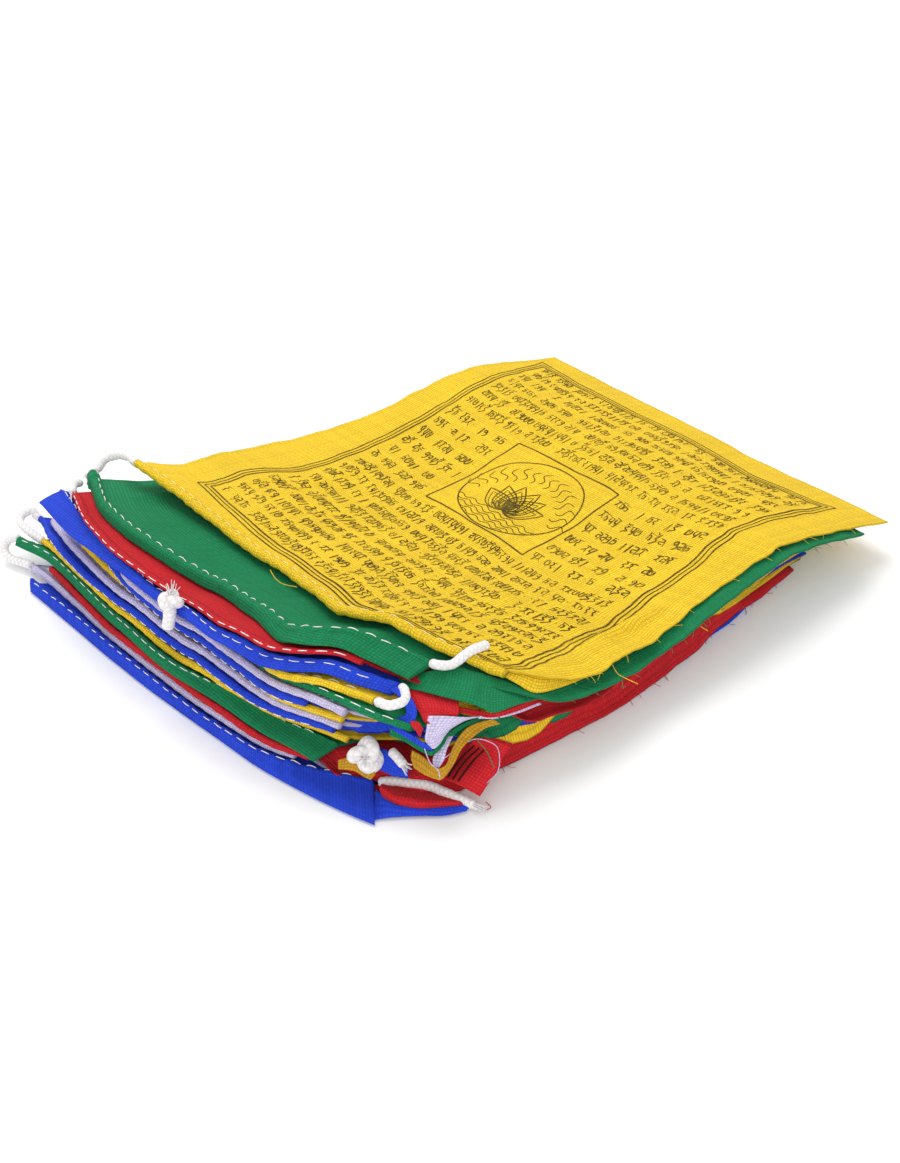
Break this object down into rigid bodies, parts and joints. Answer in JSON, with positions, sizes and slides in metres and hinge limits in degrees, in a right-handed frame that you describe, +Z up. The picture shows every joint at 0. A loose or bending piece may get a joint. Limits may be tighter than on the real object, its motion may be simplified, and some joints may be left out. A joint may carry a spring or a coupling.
{
  "type": "prayer flag string",
  "caption": "String of square cotton prayer flags folded up into a loose pile, with rolled hems over a white hem cord, cord loops and knots at the hem ends, printed top flag.",
  "frame": {"origin": "middle of the pile's box in X and Y, on the surface it lies on", "axes": "+X along the hems, from the ends with the large cord loop towards the ends with the free tail; +Y from the hems to the flags' far edges; +Z up"},
  "size_m": [0.2486, 0.2674, 0.0498],
  "materials": {
    "cotton_yellow": "matt plain-weave cotton voile",
    "cotton_green": "matt plain-weave cotton voile",
    "cotton_red": "matt plain-weave cotton voile",
    "cotton_white": "matt plain-weave cotton voile",
    "cotton_blue": "matt plain-weave cotton voile",
    "cotton_cord": "matt braided cotton"
  },
  "bodies": {
    "root": {"flag_blue_4": "cotton_blue", "flag_white_4": "cotton_white", "flag_red_4": "cotton_red", "flag_green_4": "cotton_green", "flag_yellow_4": "cotton_yellow", "flag_blue_3": "cotton_blue", "flag_white_3": "cotton_white", "flag_yellow_3": "cotton_yellow", "flag_blue_2": "cotton_blue", "flag_white_2": "cotton_white", "flag_green_2": "cotton_green", "flag_yellow_2": "cotton_yellow", "flag_blue_1": "cotton_blue", "flag_red_1": "cotton_red", "flag_green_1": "cotton_green", "flag_yellow_1": "cotton_yellow", "cord_loop_top_left": "cotton_cord", "cord_loop_red_left": "cotton_cord", "cord_end_green_right": "cotton_cord", "cord_turn_blue_right": "cotton_cord", "cord_turn_blue_left": "cotton_cord", "cord_turn_green_left": "cotton_cord", "cord_end_low_right": "cotton_cord", "cord_tail": "cotton_cord", "knot_on_hems": "cotton_cord", "knot_right": "cotton_cord"}
  },
  "joints": []
}
